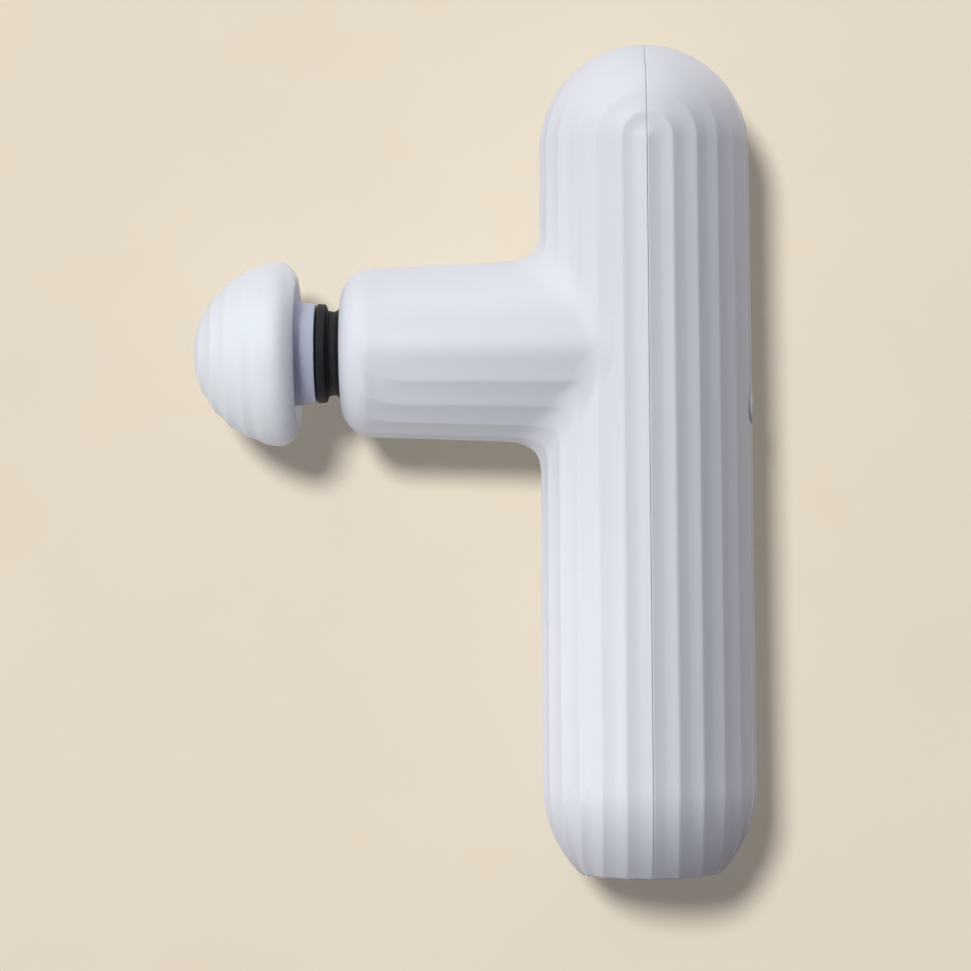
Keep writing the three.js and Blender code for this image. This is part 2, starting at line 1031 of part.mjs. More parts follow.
add(
  housing,
  "dust_boot",
  S.neck(
    loop([
      [SHAFT_R + 0.3, 51.2],
      [8.6, 51.2],
      [8.6, 54.7],
      [8.3, 55.3],
      [7.6, 55.9],
      [7.4, 56.4],
      [7.6, 56.9],
      [7.9, 57.1],
      [SHAFT_R + 0.3, 57.1],
    ]),
    32,
  ),
  RUBBER,
  0.8,
);

// ---------------------------------------------------------------------- head
let core = S.neck(
  [
    [0, 47],
    [4.0, 47],
    [4.6, 47.8],
    [4.6, 50.3],
    [3.6, 50.3],
    [3.6, 51.7],
    [4.6, 51.7],
    [4.6, 54.3],
    [3.6, 54.3],
    [3.6, 55.7],
    [4.6, 55.7],
    [4.6, 59.7],
    [9.0, 59.7],
    [9.45, 63.9],
    [7.0, 63.9],
    [7.0, 71.5],
    [6.5, 72],
    [0, 72],
  ],
  32,
);
add(headGroup, "head_core", core, 0xcfd4e0, 0.5);
[51, 55].forEach((s, i) => {
  const ring = [];
  for (let k = 0; k < 6; k++) {
    const a = (k * Math.PI) / 3;
    ring.push([4.33 + 0.45 * Math.cos(a), s + 0.45 * Math.sin(a)]);
  }
  add(headGroup, "stem_oring_" + (i + 1), S.neck(loop(ring), 20), RUBBER, 0.8);
});
add(
  headGroup,
  "head_dome",
  S.neck(
    [
      [0, HEAD_TIP],
      [3.4, 81.5],
      [7.6, 79.9],
      [11.2, 77.2],
      [14.1, 73.4],
      [16.1, 69.0],
      [HEAD_R, 66.8],
      [16.3, 65.2],
      [15.6, 63.8],
      [14.4, 62.8],
      [13.2, 62.5],
      [12.2, 62.9],
      [9.9, 64.2],
      [7.3, 64.2],
      [7.3, 72.3],
      [0, 72.3],
    ],
    40,
  ),
  HEAD_SILICONE,
  0.55,
);

export default root;
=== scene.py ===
import json
import math

import bmesh
import bpy
import numpy as np
from mathutils import Matrix, Vector


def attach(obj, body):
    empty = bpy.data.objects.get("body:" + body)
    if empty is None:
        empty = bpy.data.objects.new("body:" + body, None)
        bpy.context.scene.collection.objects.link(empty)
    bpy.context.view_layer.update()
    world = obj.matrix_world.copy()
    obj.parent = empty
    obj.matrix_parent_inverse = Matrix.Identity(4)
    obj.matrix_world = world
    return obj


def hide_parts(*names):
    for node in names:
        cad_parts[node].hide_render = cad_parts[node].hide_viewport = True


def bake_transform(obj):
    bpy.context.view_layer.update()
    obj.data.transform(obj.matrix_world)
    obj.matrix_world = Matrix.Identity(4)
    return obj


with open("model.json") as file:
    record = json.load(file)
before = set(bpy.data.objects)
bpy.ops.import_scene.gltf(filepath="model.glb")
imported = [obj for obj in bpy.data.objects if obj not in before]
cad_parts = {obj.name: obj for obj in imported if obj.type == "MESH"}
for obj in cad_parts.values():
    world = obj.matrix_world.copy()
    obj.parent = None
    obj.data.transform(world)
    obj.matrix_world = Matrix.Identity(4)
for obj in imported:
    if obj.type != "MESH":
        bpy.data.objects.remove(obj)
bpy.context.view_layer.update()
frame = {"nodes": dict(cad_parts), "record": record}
NODES = frame["nodes"]

MM = 0.001

# ------------------------------------------------------------ driving numbers
# millimetres, in the frame of the part: +Z up the handle, the neck along -X
H = 150.0
R_TOP = 18.8
R_LOW = 19.2
DOME_Z = H - R_TOP
FOOT_ARC = 23.0
FOOT_Z = 16.0
FOOT_R = R_LOW - FOOT_ARC
FLUTE_STEP = math.radians(360 / 26)
FLUTE_DEPTH = 0.34
NECK_FLUTE_DEPTH = 0.24
NECK_Z = 94.6
NECK_TIP = 55.2
NECK_CORNER = 5.5
FILLET = 5.3
MOUTH_R = 8.75
SEAM = 0.035
BUTTON_Z = 84.0
LENS_Z = 72.0
USB_X = 5.2
SCREW_Y = 7.4
FULLER = 0.22  # the ridges of the handle stand this far outside the plain solid


# ------------------------------------------------------------ small functions
def smoothstep(a, b, v):
    t = np.clip((v - a) / (b - a), 0.0, 1.0)
    return t * t * (3 - 2 * t)


def flute(tau, rounding=0.05):
    """Depth share across concave flutes; tau is the phase in whole flutes."""
    u = np.abs(tau - np.round(tau))
    u = np.sqrt(u * u + rounding * rounding) - rounding
    return 4 * u * (1 - u)


# ---------------------------------------------------------------- the housing
def body_distance(x, y, z):
    r = np.hypot(x, y)
    taper = R_LOW + (R_TOP - R_LOW) * (z - FOOT_Z) / (DOME_Z - FOOT_Z)
    mid = r - taper - FULLER
    top = np.sqrt(r * r + (z - DOME_Z) ** 2) - R_TOP - FULLER * (1 - smoothstep(0, 14, z - DOME_Z))
    low = np.hypot(np.maximum(r - FOOT_R, 0), FOOT_Z - z) - FOOT_ARC
    low = low - FULLER * smoothstep(0, FOOT_Z, z)
    d = np.where(z > DOME_Z, top, np.where(z < FOOT_Z, low, mid))
    # the flat bottom with a small rounded edge
    e = 0.45
    a, b = d, -z
    return np.minimum(-e, np.maximum(a, b)) + np.hypot(
        np.maximum(e + a, 0), np.maximum(e + b, 0)
    )


def neck_distance(x, y, z):
    s = -x
    rn = np.hypot(y, z - NECK_Z)
    radius = 16.25 - (s - 27) * 0.042
    q1 = rn - (radius - NECK_CORNER)
    q2 = s - (NECK_TIP - NECK_CORNER)
    d = (
        np.minimum(np.maximum(q1, q2), 0)
        + np.hypot(np.maximum(q1, 0), np.maximum(q2, 0))
        - NECK_CORNER
    )
    return np.maximum(d, 2.0 - s)


# phase of the neck's flutes: angle from the side line to the count of ridges
NECK_ANGLE = np.radians(np.array([0, 21.7, 39.5, 56.5, 73.5, 90.0]))


def neck_phase(x, y, z):
    s = -x
    over = np.maximum(s - 43.8, 0)
    a = np.arctan2(np.hypot(z - NECK_Z, over), np.abs(y))
    return np.interp(a, NECK_ANGLE, np.arange(6.0))


def housing(x, y, z):
    db = body_distance(x, y, z)
    dn = neck_distance(x, y, z)
    r = np.hypot(x, y) + 1e-9
    rn = np.hypot(y, z - NECK_Z) + 1e-9
    dot = y * y / (r * rn)
    across = np.sqrt(np.clip(1 - dot * dot, 0.04, 1))
    # flutes of the handle
    a = np.arctan2(np.hypot(x, np.maximum(z - DOME_Z, 0)), np.abs(y) + 1e-9)
    # in the foot the ridges run straight down and close up towards the sides
    k6 = np.where(z < FOOT_Z, np.clip(R_LOW / r, 1.0, 1.6), 1.0) ** 6
    t6 = np.clip(np.abs(x) / r, 0, 1) ** 6
    straight = np.arcsin(np.clip((t6 / (k6 - t6 * (k6 - 1))) ** (1 / 6), 0, 1))
    a = np.where(z < FOOT_Z, straight, a)
    fb = flute(a / FLUTE_STEP)
    fb = fb * (1 - smoothstep(132.5, 142.5, z))
    fb = fb * np.clip(r / 19.0, 0, 1)
    near_neck = (x < 0) & (np.abs(z - NECK_Z) < 26)
    fb = fb * np.where(near_neck, smoothstep(0.1, 2.6, dn / across), 1.0)
    # flutes of the neck
    fn = flute(neck_phase(x, y, z))
    fn = fn * (1 - smoothstep(48.0, 52.3, -x)) * smoothstep(0.1, 2.6, db / across)
    fn = fn * (0.14 + 0.86 * (1 - smoothstep(88.5, 95.5, z)))
    a_ = db + FLUTE_DEPTH * fb
    b_ = dn + NECK_FLUTE_DEPTH * fn
    k = 1.12 * FILLET * np.clip(1 - dot, 0.02, 1)
    h = np.maximum(k - np.abs(a_ - b_), 0) / k
    d = np.minimum(a_, b_) - h * h * k * 0.25
    # the parting line's softened edges
    return d + 0.07 * np.maximum(0, 1 - np.abs(x) / 0.22) ** 2


def gradient(f, p, h=0.02):
    g = np.empty_like(p)
    for i in range(3):
        q = p.copy()
        q[:, i] += h
        hi = f(q[:, 0], q[:, 1], q[:, 2])
        q[:, i] -= 2 * h
        g[:, i] = (hi - f(q[:, 0], q[:, 1], q[:, 2])) / (2 * h)
    return g


def surface_net(f, xs, ys, zs, steps=5):
    """Quads on the zero level of f over a grid of uneven lines."""
    nx, ny, nz = len(xs), len(ys), len(zs)
    v = np.empty((nx, ny, nz), np.float32)
    xx, yy = np.meshgrid(xs, ys, indexing="ij")
    for k, z in enumerate(zs):
        v[:, :, k] = f(xx, yy, np.full_like(xx, z))
    ins = v < 0
    c = np.zeros((nx - 1, ny - 1, nz - 1), np.uint8)
    for a in (0, 1):
        for b in (0, 1):
            for d in (0, 1):
                c += ins[a : nx - 1 + a, b : ny - 1 + b, d : nz - 1 + d]
    active = (c > 0) & (c < 8)
    ai, aj, ak = np.nonzero(active)
    index = np.full(active.shape, -1, np.int64)
    index[ai, aj, ak] = np.arange(len(ai))
    total = np.zeros((len(ai), 3))
    count = np.zeros(len(ai))
    grid = (xs, ys, zs)
    base = (ai, aj, ak)
    for axis in range(3):
        others = [o for o in range(3) if o != axis]
        for a in (0, 1):
            for b in (0, 1):
                off0 = [0, 0, 0]
                off0[others[0]] = a
                off0[others[1]] = b
                off1 = list(off0)
                off1[axis] = 1
                i0 = tuple(base[n] + off0[n] for n in range(3))
                i1 = tuple(base[n] + off1[n] for n in range(3))
                v0, v1 = v[i0].astype(float), v[i1].astype(float)
                m = (v0 < 0) != (v1 < 0)
                t = np.where(m, v0 / np.where(m, v0 - v1, 1), 0)
                p = np.stack([grid[n][i0[n]] for n in range(3)], 1)
                p[:, axis] += t * (grid[axis][i1[axis]] - grid[axis][i0[axis]])
                total += p * m[:, None]
                count += m
    p = total / count[:, None]
    for _ in range(steps):
        g = gradient(f, p)
        w = f(p[:, 0], p[:, 1], p[:, 2])
        step = g * (w / np.maximum((g * g).sum(1), 1e-6))[:, None]
        n = np.linalg.norm(step, axis=1)
        step *= (np.minimum(n, 0.25) / np.maximum(n, 1e-12))[:, None]
        p = p - step
    quads = []

    def emit(change, inside, cells):
        q = np.stack(cells, 1)
        q = np.where(inside[:, None], q, q[:, ::-1])
        quads.append(q[change])

    i, j, k = np.nonzero(ins[:-1, 1:-1, 1:-1] != ins[1:, 1:-1, 1:-1])
    j, k = j + 1, k + 1
    one = np.ones(len(i), bool)
    emit(
        one,
        ins[i, j, k],
        [
            index[i, j - 1, k - 1],
            index[i, j, k - 1],
            index[i, j, k],
            index[i, j - 1, k],
        ],
    )
    i, j, k = np.nonzero(ins[1:-1, :-1, 1:-1] != ins[1:-1, 1:, 1:-1])
    i, k = i + 1, k + 1
    one = np.ones(len(i), bool)
    emit(
        one,
        ins[i, j, k],
        [
            index[i - 1, j, k - 1],
            index[i - 1, j, k],
            index[i, j, k],
            index[i, j, k - 1],
        ],
    )
    i, j, k = np.nonzero(ins[1:-1, 1:-1, :-1] != ins[1:-1, 1:-1, 1:])
    i, j = i + 1, j + 1
    one = np.ones(len(i), bool)
    emit(
        one,
        ins[i, j, k],
        [
            index[i - 1, j - 1, k],
            index[i, j - 1, k],
            index[i, j, k],
            index[i - 1, j, k],
        ],
    )
    return p, np.concatenate(quads)


def lines(*spans):
    """Grid lines from (start, end, step) spans laid end to end."""
    out = []
    for a, b, step in spans:
        n = max(1, int(round((b - a) / step)))
        out.append(np.linspace(a, b, n + 1)[:-1])
    out.append(np.array([spans[-1][1]]))
    return np.concatenate(out)


# -------------------------------------------------------------- mesh plumbing
def new_object(name, verts, faces, scale=MM):
    mesh = bpy.data.meshes.new(name)
    v = np.asarray(verts, float) * scale
    mesh.from_pydata([tuple(p) for p in v.tolist()], [], [list(map(int, q)) for q in faces])
    mesh.validate()
    mesh.update()
    ob = bpy.data.objects.new(name, mesh)
    bpy.context.scene.collection.objects.link(ob)
    return ob


def shade(ob, angle=35):
    for p in ob.data.polygons:
        p.use_smooth = True
    ob.data.set_sharp_from_angle(angle=math.radians(angle))
    return ob


def revolve(profile, segments=96, closed=False, axis="z", x=0.0, y=0.0, z=0.0):
    """Vertices and faces of a revolved profile of (radius, height) pairs.
    axis z: height is +Z.  axis n: height runs along -X on the stroke axis.
    axis x: height is +X through (y, z)."""
    prof = list(profile)
    n = len(prof)
    verts, rows = [], []
    for r, h in prof:
        if r < 1e-6:
            rows.append([len(verts)] * segments)
            verts.append((0.0, 0.0, h))
        else:
            row = []
            for s in range(segments):
                a = 2 * math.pi * s / segments
                row.append(len(verts))
                verts.append((r * math.cos(a), r * math.sin(a), h))
            rows.append(row)
    faces = []
    pairs = list(zip(range(n - 1), range(1, n)))
    if closed:
        pairs.append((n - 1, 0))
    for a, b in pairs:
        for s in range(segments):
            t = (s + 1) % segments
            q = [rows[a][s], rows[a][t], rows[b][t], rows[b][s]]
            q = [v for i, v in enumerate(q) if v not in q[:i]]
            if len(q) > 2:
                faces.append(q)
    v = np.array(verts)
    if axis == "n":
        v = np.stack([-v[:, 2], v[:, 1], v[:, 0]], 1)
        v[:, 2] += NECK_Z
    elif axis == "x":
        v = np.stack([v[:, 2], v[:, 1], -v[:, 0]], 1)
        v += np.array([0, y, z])
    else:
        v += np.array([x, y, 0])
    return v, faces


def outward(ob):
    bm = bmesh.new()
    bm.from_mesh(ob.data)
    bmesh.ops.remove_doubles(bm, verts=bm.verts, dist=1e-8)
    bmesh.ops.recalc_face_normals(bm, faces=bm.faces)
    if bm.calc_volume(signed=True) < 0:
        bmesh.ops.reverse_faces(bm, faces=bm.faces)
    bm.to_mesh(ob.data)
    bm.free()
    return ob


def lathe(name, profile, segments=96, closed=False, axis="z", **at):
    return outward(new_object(name, *revolve(profile, segments, closed, axis, **at)))


def rounded(points, radius=0.3, steps=3, closed=False):
    """A profile with its corners rounded. A point may carry its own radius."""
    pts = [(p[0], p[1], p[2] if len(p) > 2 else radius) for p in points]
    n = len(pts)
    out = []
    for i, (r, h, rad) in enumerate(pts):
        if (not closed and i in (0, n - 1)) or rad <= 0:
            out.append((r, h))
            continue
        p = np.array((r, h))
        a = np.array(pts[(i - 1) % n][:2]) - p
        b = np.array(pts[(i + 1) % n][:2]) - p
        la, lb = np.linalg.norm(a), np.linalg.norm(b)
        if la < 1e-9 or lb < 1e-9:
            out.append((r, h))
            continue
        a, b = a / la, b / lb
        ang = math.acos(float(np.clip(a @ b, -1, 1)))
        if ang > math.radians(176):
            out.append((r, h))
            continue
        cut = min(rad / math.tan(ang / 2), 0.45 * la, 0.45 * lb)
        rr = cut * math.tan(ang / 2)
        mid = a + b
        mid /= np.linalg.norm(mid)
        centre = p + mid * (rr / math.sin(ang / 2))
        s0 = p + a * cut - centre
        s1 = p + b * cut - centre
        a0 = math.atan2(s0[1], s0[0])
        a1 = math.atan2(s1[1], s1[0])
        d = (a1 - a0 + math.pi) % (2 * math.pi) - math.pi
        for s in range(steps + 1):
            t = a0 + d * s / steps
            q = centre + rr * np.array((math.cos(t), math.sin(t)))
            out.append((max(float(q[0]), 0.0), float(q[1])))
    return out


def box(name, x0, x1, y0, y1, z0, z1, bevel=0.0):
    bm = bmesh.new()
    bmesh.ops.create_cube(bm, size=1.0)
    for v in bm.verts:
        v.co.x = (x0 + (v.co.x + 0.5) * (x1 - x0)) * MM
        v.co.y = (y0 + (v.co.y + 0.5) * (y1 - y0)) * MM
        v.co.z = (z0 + (v.co.z + 0.5) * (z1 - z0)) * MM
    if bevel:
        bmesh.ops.bevel(
            bm, geom=list(bm.edges), offset=bevel * MM, segments=2, affect="EDGES"
        )
    mesh = bpy.data.meshes.new(name)
    bm.to_mesh(mesh)
    bm.free()
    ob = bpy.data.objects.new(name, mesh)
    bpy.context.scene.collection.objects.link(ob)
    return ob


def boolean(ob, other, operation="DIFFERENCE", drop=True):
    mod = ob.modifiers.new("cut", "BOOLEAN")
    mod.operation = operation
    mod.object = other
    mod.solver = "MANIFOLD"
    deps = bpy.context.evaluated_depsgraph_get()
    mesh = bpy.data.meshes.new_from_object(ob.evaluated_get(deps))
    ob.modifiers.clear()
    old = ob.data
    mesh.name = old.name
    ob.data = mesh
    bpy.data.meshes.remove(old)
    if drop:
        m = other.data
        bpy.data.objects.remove(other)
        bpy.data.meshes.remove(m)
    return ob


def pill_prism(name, half, r, z0, z1, x0=0.0, seg=16):
    """A prism with round ends, its long side along Y and half as long as half."""
    pts = []
    k = half - r
    for i in range(seg + 1):
        a = math.pi * i / seg
        pts.append((r * math.cos(a), k + r * math.sin(a)))
    for i in range(seg + 1):
        a = math.pi + math.pi * i / seg
        pts.append((r * math.cos(a), -k + r * math.sin(a)))
    n = len(pts)
    verts = [(x + x0, y, z) for z in (z0, z1) for x, y in pts]
    faces = [list(range(n))[::-1], list(range(n, 2 * n))]
    for i in range(n):
        j = (i + 1) % n
        faces.append([i, j, n + j, n + i])
    return outward(new_object(name, verts, faces))


# ------------------------------------------------------------------ materials
def material(name):
    m = bpy.data.materials.new(name)
    m.use_nodes = True
    nt = m.node_tree
    nt.nodes.clear()
    out = nt.nodes.new("ShaderNodeOutputMaterial")
    b = nt.nodes.new("ShaderNodeBsdfPrincipled")
    nt.links.new(b.outputs[0], out.inputs[0])
    return m, nt, b


def node(nt, kind, **kw):
    n = nt.nodes.new(kind)
    for k, v in kw.items():
        setattr(n, k, v)
    return n


def coords(nt, scale=(1, 1, 1)):
    tc = node(nt, "ShaderNodeTexCoord")
    mp = node(nt, "ShaderNodeMapping")
    mp.inputs["Scale"].default_value = scale
    nt.links.new(tc.outputs["Object"], mp.inputs[0])
    return mp.outputs[0]


def noise(nt, vec, scale, detail=3.0, rough=0.5):
    n = node(nt, "ShaderNodeTexNoise")
    n.inputs["Scale"].default_value = scale
    n.inputs["Detail"].default_value = detail
    n.inputs["Roughness"].default_value = rough
    nt.links.new(vec, n.inputs["Vector"])
    return n.outputs["Fac"]


def spread(nt, fac, lo, hi, a=0.3, b=0.7):
    n = node(nt, "ShaderNodeMapRange")
    n.inputs["From Min"].default_value = a
    n.inputs["From Max"].default_value = b
    n.inputs["To Min"].default_value = lo
    n.inputs["To Max"].default_value = hi
    nt.links.new(fac, n.inputs["Value"])
    return n.outputs["Result"]


def mix_colour(nt, fac, c0, c1):
    n = node(nt, "ShaderNodeMix", data_type="RGBA")
    n.inputs[6].default_value = (*c0, 1)
    n.inputs[7].default_value = (*c1, 1)
    nt.links.new(fac, n.inputs[0])
    return n.outputs[2]


def bump(nt, b, height, distance, strength=1.0, after=None):
    n = node(nt, "ShaderNodeBump")
    n.inputs["Strength"].default_value = strength
    n.inputs["Distance"].default_value = distance
    nt.links.new(height, n.inputs["Height"])
    if after is not None:
        nt.links.new(after, n.inputs["Normal"])
    nt.links.new(n.outputs[0], b.inputs["Normal"])
    return n.outputs[0]


def moulded(
    name,
    colour,
    rough=0.5,
    grain=900.0,
    grain_depth=0.00002,
    tint=0.03,
    sheen=0.0,
    subsurface=0.0,
    spec=0.5,
    stretch=(1, 1, 1),
):
    """Moulded plastic or rubber: a fine sparked grain, faint flow variation in
    the colour, and a roughness that drifts a little over the surface."""
    m, nt, b = material(name)
    vec = coords(nt, stretch)
    c = np.array(colour)
    flow = noise(nt, vec, 38.0, 2.0)
    col = mix_colour(
        nt,
        spread(nt, flow, 0, 1),
        tuple(np.clip(c * (1 - tint), 0, 1)),
        tuple(np.clip(c * (1 + tint), 0, 1)),
    )
    nt.links.new(col, b.inputs["Base Color"])
    fine = noise(nt, vec, grain * 2.2, 2.0)
    nt.links.new(spread(nt, fine, rough - 0.04, rough + 0.05), b.inputs["Roughness"])
    bump(nt, b, fine, grain_depth, 0.6)
    b.inputs["Specular IOR Level"].default_value = spec
    b.inputs["Sheen Weight"].default_value = sheen
    b.inputs["Sheen Roughness"].default_value = 0.5
    if subsurface:
        b.inputs["Subsurface Weight"].default_value = subsurface
        b.inputs["Subsurface Radius"].default_value = (1.0, 0.8, 0.7)
        b.inputs["Subsurface Scale"].default_value = 0.0015
    return m


def metal(name, colour, rough=0.3, stretch=(1, 1, 60), scale=400.0, depth=0.000006):
    """Turned or brushed metal: fine scratches drawn out along one direction."""
    m, nt, b = material(name)
    vec = coords(nt, stretch)
    c = np.array(colour)
    lines_ = noise(nt, vec, scale, 3.0, 0.6)
    col = mix_colour(nt, spread(nt, lines_, 0, 1), tuple(c * 0.86), tuple(np.clip(c * 1.1, 0, 1)))
    nt.links.new(col, b.inputs["Base Color"])
    nt.links.new(spread(nt, lines_, rough - 0.06, rough + 0.10), b.inputs["Roughness"])
    b.inputs["Metallic"].default_value = 1.0
    bump(nt, b, lines_, depth, 0.5)
    return m


BODY = (0.710, 0.735, 0.766)
MAT = {
    "body_plastic": moulded("body_plastic", BODY, 0.46, 1500, 0.000012, 0.012, 0.05),
    "head_soft": moulded(
        "head_soft", (0.728, 0.772, 0.785), 0.50, 1500, 0.000012, 0.012, 0.15, 0.12
    ),
    "hub_plastic": moulded("hub_plastic", (0.50, 0.53, 0.65), 0.42, 1500, 0.000012, 0.015),
    "black_rubber": moulded(
        "black_rubber", (0.0065, 0.006, 0.009), 0.6, 900, 0.00003, 0.2, 0.02, 0.0, 0.3
    ),
    "black_plastic": moulded("black_plastic", (0.02, 0.02, 0.022), 0.45, 700, 0.00003, 0.1),
    "dark_plastic": moulded("dark_plastic", (0.045, 0.046, 0.05), 0.38, 700, 0.00002, 0.1),
    "white_plastic": moulded("white_plastic", (0.70, 0.71, 0.72), 0.35, 900, 0.00001, 0.02),
    "steel": metal("steel", (0.52, 0.53, 0.55), 0.32, (1, 1, 40)),
    "bearing_steel": metal("bearing_steel", (0.62, 0.63, 0.65), 0.18, (1, 1, 50)),
    "aluminium": metal("aluminium", (0.70, 0.71, 0.73), 0.30, (60, 1, 1)),
    "brass": metal("brass", (0.62, 0.46, 0.20), 0.30, (1, 1, 50)),
    "bronze": metal("bronze", (0.48, 0.30, 0.13), 0.42, (50, 1, 1)),
    "nickel": metal("nickel", (0.60, 0.58, 0.53), 0.28, (1, 50, 1)),
    "magnet": metal("magnet", (0.10, 0.10, 0.105), 0.40, (1, 1, 30)),
    "lead_red": moulded("lead_red", (0.42, 0.02, 0.02), 0.4, 900, 0.00001, 0.06),
    "lead_black": moulded("lead_black", (0.012, 0.012, 0.012), 0.4, 900, 0.00001, 0.06),
    "lead_yellow": moulded("lead_yellow", (0.55, 0.36, 0.02), 0.4, 900, 0.00001, 0.06),
    "lead_blue": moulded("lead_blue", (0.03, 0.13, 0.42), 0.4, 900, 0.00001, 0.06),
    "lead_green": moulded("lead_green", (0.04, 0.28, 0.09), 0.4, 900, 0.00001, 0.06),
    "lens": moulded("lens", (0.85, 0.87, 0.86), 0.22, 900, 0.000005, 0.01, 0, 0.4),
    "cell_wrap": moulded("cell_wrap", (0.05, 0.16, 0.36), 0.25, 200, 0.00002, 0.05),
    "foam": moulded("foam", (0.09, 0.09, 0.10), 0.95, 500, 0.0002, 0.25),
}


def layered_material(name, c0, c1, spacing, metallic, rough):
    """Stacked sheets or wound wire: bands across Z."""
    m, nt, b = material(name)
    vec = coords(nt)
    w = node(nt, "ShaderNodeTexWave", wave_type="BANDS", bands_direction="Z")
    w.inputs["Scale"].default_value = 1.0 / (spacing * 6.2832) * 3.1416
    w.inputs["Distortion"].default_value = 0.6
    w.inputs["Detail"].default_value = 1.0
    nt.links.new(vec, w.inputs["Vector"])
    nt.links.new(mix_colour(nt, w.outputs["Fac"], c0, c1), b.inputs["Base Color"])
    b.inputs["Metallic"].default_value = metallic
    b.inputs["Roughness"].default_value = rough
    bump(nt, b, w.outputs["Fac"], 0.00008, 0.7)
    return m


MAT["stator_steel"] = layered_material(
    "stator_steel", (0.10, 0.10, 0.11), (0.26, 0.26, 0.27), 0.0005, 0.8, 0.45
)
MAT["copper"] = layered_material(
    "copper", (0.42, 0.13, 0.05), (0.72, 0.30, 0.13), 0.0004, 0.9, 0.3
)


def board_material():
    m, nt, b = material("board")
    vec = coords(nt)
    br = node(nt, "ShaderNodeTexBrick")
    br.inputs["Scale"].default_value = 260.0
    br.inputs["Mortar Size"].default_value = 0.05
    br.inputs["Color1"].default_value = (0.015, 0.10, 0.05, 1)
    br.inputs["Color2"].default_value = (0.012, 0.08, 0.042, 1)
    br.inputs["Mortar"].default_value = (0.03, 0.17, 0.09, 1)
    rot = node(nt, "ShaderNodeMapping")
    rot.inputs["Rotation"].default_value = (0, math.radians(90), 0)
    nt.links.new(vec, rot.inputs[0])
    nt.links.new(rot.outputs[0], br.inputs["Vector"])
    nt.links.new(br.outputs["Color"], b.inputs["Base Color"])
    b.inputs["Roughness"].default_value = 0.32
    bump(nt, b, br.outputs["Fac"], 0.00002, 0.4)
    return m


def ribbon_material():
    m, nt, b = material("ribbon")
    vec = coords(nt)
    w = node(nt, "ShaderNodeTexWave", wave_type="BANDS", bands_direction="Y")
    w.inputs["Scale"].default_value = 500.0
    nt.links.new(vec, w.inputs["Vector"])
    nt.links.new(
        mix_colour(nt, w.outputs["Fac"], (0.62, 0.62, 0.58), (0.45, 0.40, 0.30)),
        b.inputs["Base Color"],
    )
    b.inputs["Roughness"].default_value = 0.4
    return m


MAT["board"] = board_material()
MAT["ribbon"] = ribbon_material()


def wear(ob, mat):
    ob.data.materials.clear()
    ob.data.materials.append(MAT[mat])


# every CAD node that stays gets its own finish
slots = {s["node"]: s["material_slot"] for s in frame["record"]["subparts"]}
for name, ob in NODES.items():
    wear(ob, slots[name])
    for p in ob.data.polygons:
        p.use_smooth = True
    ob.data.set_sharp_from_angle(angle=math.radians(33))


# ------------------------------------------------------------------ the shells
def inner_cavity():
    lip0, lip1 = 1.3, 2.7
    prof = [(0, -2), (12.0, -2), (12.0, lip0), (10.4, lip0), (10.4, lip1)]
    ri = FOOT_ARC - 2.0
    a0 = math.asin((FOOT_Z - lip1) / ri)
    for i in range(9):
        a = a0 * (1 - i / 8)
        prof.append(
            (FOOT_R + ri * math.cos(a), lip1 if i == 0 else FOOT_Z - ri * math.sin(a))
        )
    for i in range(13):
        a = math.pi / 2 * i / 12
        r = R_TOP - 2.0
        prof.append((0 if i == 12 else r * math.cos(a), DOME_Z + r * math.sin(a)))
    cav = lathe("cavity", prof, 64)
    bore = lathe(
        "bore",
        [(0, 0), (12.3, 0), (12.3, 53), (MOUTH_R, 53), (MOUTH_R, 58), (0, 58)],
        96,
        axis="n",
    )
    return boolean(cav, bore, "UNION")


def shell_normals(ob):
    """Shading normals from the surface itself wherever a face lies on it."""
    mesh = ob.data
    n = len(mesh.vertices)
    co = np.empty(n * 3)
    mesh.vertices.foreach_get("co", co)
    co = co.reshape(-1, 3) / MM
    g = gradient(housing, co, 0.03)
    g /= np.maximum(np.linalg.norm(g, axis=1), 1e-9)[:, None]
    on = np.abs(housing(co[:, 0], co[:, 1], co[:, 2])) < 0.03
    for p in mesh.polygons:
        p.use_smooth = True
    mesh.set_sharp_from_angle(angle=math.radians(30))
    m = len(mesh.loops)
    lv = np.empty(m, np.int32)
    mesh.loops.foreach_get("vertex_index", lv)
    cn = np.empty(m * 3)
    mesh.corner_normals.foreach_get("vector", cn)
    cn = cn.reshape(-1, 3)
    start = np.empty(len(mesh.polygons), np.int32)
    size = np.empty(len(mesh.polygons), np.int32)
    mesh.polygons.foreach_get("loop_start", start)
    mesh.polygons.foreach_get("loop_total", size)
    fn = np.empty(len(mesh.polygons) * 3)
    mesh.polygons.foreach_get("normal", fn)
    fn = fn.reshape(-1, 3)
    face_of = np.repeat(np.arange(len(size)), size)
    order = np.concatenate([np.arange(s, s + t) for s, t in zip(start, size)])
    facing = np.empty((m, 3))
    facing[order] = fn[face_of]
    use = on[lv] & ((g[lv] * facing).sum(1) > 0.80)
    out = np.where(use[:, None], g[lv], cn)
    mesh.normals_split_custom_set([tuple(v) for v in out.tolist()])


xs = lines(
    (-56.4, -49.6, 0.42),
    (-49.6, -21.5, 0.75),
    (-21.5, -0.5, 0.36),
    (-0.5, -0.26, 0.12),
    (-0.26, 0.26, 0.065),
    (0.26, 0.5, 0.12),
    (0.5, 19.9, 0.36),
)
ys = lines((-19.9, 19.9, 0.36))
zs = lines(
    (-0.5, 0.7, 0.15),
    (0.7, 14.5, 0.6),
    (14.5, 74.5, 1.0),
    (74.5, 115.0, 0.36),
    (115.0, 130.0, 0.9),
    (130.0, 144.0, 0.42),
    (144.0, 150.6, 0.42),
)
verts, quads = surface_net(housing, xs, ys, zs)
whole = new_object("housing_outside", verts, quads)
cavity = inner_cavity()


